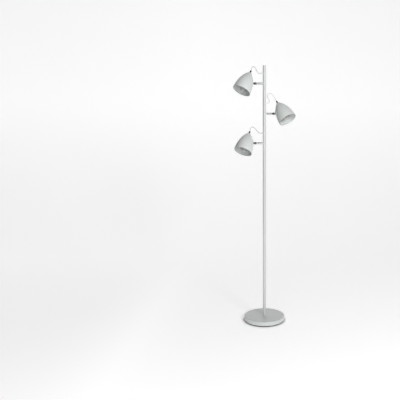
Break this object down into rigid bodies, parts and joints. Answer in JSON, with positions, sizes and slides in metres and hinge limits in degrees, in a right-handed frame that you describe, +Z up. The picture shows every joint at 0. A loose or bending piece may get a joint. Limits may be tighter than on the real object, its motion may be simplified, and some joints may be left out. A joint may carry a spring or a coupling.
{
  "type": "tree floor lamp",
  "caption": "Floor lamp with a round base, a slim white pole and bell-shaped spot heads on short chromed arms that swivel and tilt.",
  "frame": {"origin": "on the floor under the middle of the pole, at the centre of the pad's flat underside", "axes": "+Z up along the pole; -Y toward the viewer of the picture, the side the shades face; the upper and lower heads stand out to -X and the middle one to +X"},
  "size_m": [0.3671, 0.2556, 1.55],
  "materials": {
    "white_paint": "satin powder coat, pale warm white",
    "chrome": "polished chrome plate",
    "zinc_steel": "bright zinc plate",
    "iron": "rough casting, black primer",
    "black_foam": "fine closed-cell foam rubber",
    "black_rubber": "satin",
    "black_plastic": "moulded, semi-gloss",
    "white_plastic": "moulded, glossy",
    "lead_jacket": "soft pale grey-white PVC",
    "nickel_cap": "nickel plated brass",
    "clear_glass": "clear",
    "amber_filament": "amber coated rods on a clear stem"
  },
  "bodies": {
    "pole": {"base_pad": "black_foam", "base_plate": "zinc_steel", "base_plate_screws": "zinc_steel", "base_weight": "iron", "base_cover": "white_paint", "cord_grommet": "black_rubber", "terminal_block": "white_plastic", "pole_foot_stud": "zinc_steel", "base_nut": "zinc_steel", "lower_pole_tube": "white_paint", "middle_pole_tube": "white_paint", "upper_pole_tube": "white_paint", "pole_couplers": "zinc_steel", "pole_cap": "white_paint", "arm_bosses": "white_paint", "lead_outlets": "white_plastic", "pole_wiring": "lead_jacket"},
    "upper_arm": {"upper_arm_tube": "chrome", "upper_arm_nut": "zinc_steel", "upper_knuckle_fork": "chrome", "upper_knuckle_pin": "chrome", "upper_lead": "lead_jacket"},
    "upper_head": {"upper_knuckle_tongue": "chrome", "upper_bracket_plate": "white_paint", "upper_bracket_nut": "zinc_steel", "upper_shade": "white_paint", "upper_gland": "black_plastic", "upper_lampholder": "black_plastic", "upper_bulb_cap": "nickel_cap", "upper_bulb_glass": "clear_glass", "upper_bulb_filament": "amber_filament"},
    "middle_arm": {"middle_arm_tube": "chrome", "middle_arm_nut": "zinc_steel", "middle_knuckle_fork": "chrome", "middle_knuckle_pin": "chrome", "middle_lead": "lead_jacket"},
    "middle_head": {"middle_knuckle_tongue": "chrome", "middle_bracket_plate": "white_paint", "middle_bracket_nut": "zinc_steel", "middle_shade": "white_paint", "middle_gland": "black_plastic", "middle_lampholder": "black_plastic", "middle_bulb_cap": "nickel_cap", "middle_bulb_glass": "clear_glass", "middle_bulb_filament": "amber_filament"},
    "lower_arm": {"lower_arm_tube": "chrome", "lower_arm_nut": "zinc_steel", "lower_knuckle_fork": "chrome", "lower_knuckle_pin": "chrome", "lower_lead": "lead_jacket"},
    "lower_head": {"lower_knuckle_tongue": "chrome", "lower_bracket_plate": "white_paint", "lower_bracket_nut": "zinc_steel", "lower_shade": "white_paint", "lower_gland": "black_plastic", "lower_lampholder": "black_plastic", "lower_bulb_cap": "nickel_cap", "lower_bulb_glass": "clear_glass", "lower_bulb_filament": "amber_filament"}
  },
  "joints": [
    {"name": "upper_arm_swivel", "type": "hinge", "parent": "pole", "child": "upper_arm", "pos_m": [-0.017, 0, 1.448], "axis": [-1, 0, 0], "range_deg": [-40, 39], "deforming": ["upper_lead"]},
    {"name": "upper_head_tilt", "type": "hinge", "parent": "upper_arm", "child": "upper_head", "pos_m": [-0.0555, 0, 1.448], "axis": [0, 0.9367, -0.3502], "range_deg": [-11, 35], "deforming": ["upper_lead"]},
    {"name": "middle_arm_swivel", "type": "hinge", "parent": "pole", "child": "middle_arm", "pos_m": [0.017, 0, 1.2765], "axis": [-1, 0, 0], "range_deg": [-45, 34], "deforming": ["middle_lead"]},
    {"name": "middle_head_tilt", "type": "hinge", "parent": "middle_arm", "child": "middle_head", "pos_m": [0.0555, 0, 1.2765], "axis": [0, -0.9003, 0.4352], "range_deg": [-15, 30], "deforming": ["middle_lead"]},
    {"name": "lower_arm_swivel", "type": "hinge", "parent": "pole", "child": "lower_arm", "pos_m": [-0.017, 0, 1.105], "axis": [-1, 0, 0], "range_deg": [-46, 33], "deforming": ["lower_lead"]},
    {"name": "lower_head_tilt", "type": "hinge", "parent": "lower_arm", "child": "lower_head", "pos_m": [-0.0555, 0, 1.105], "axis": [0, 0.8934, -0.4493], "range_deg": [-5, 41], "deforming": ["lower_lead"]}
  ]
}
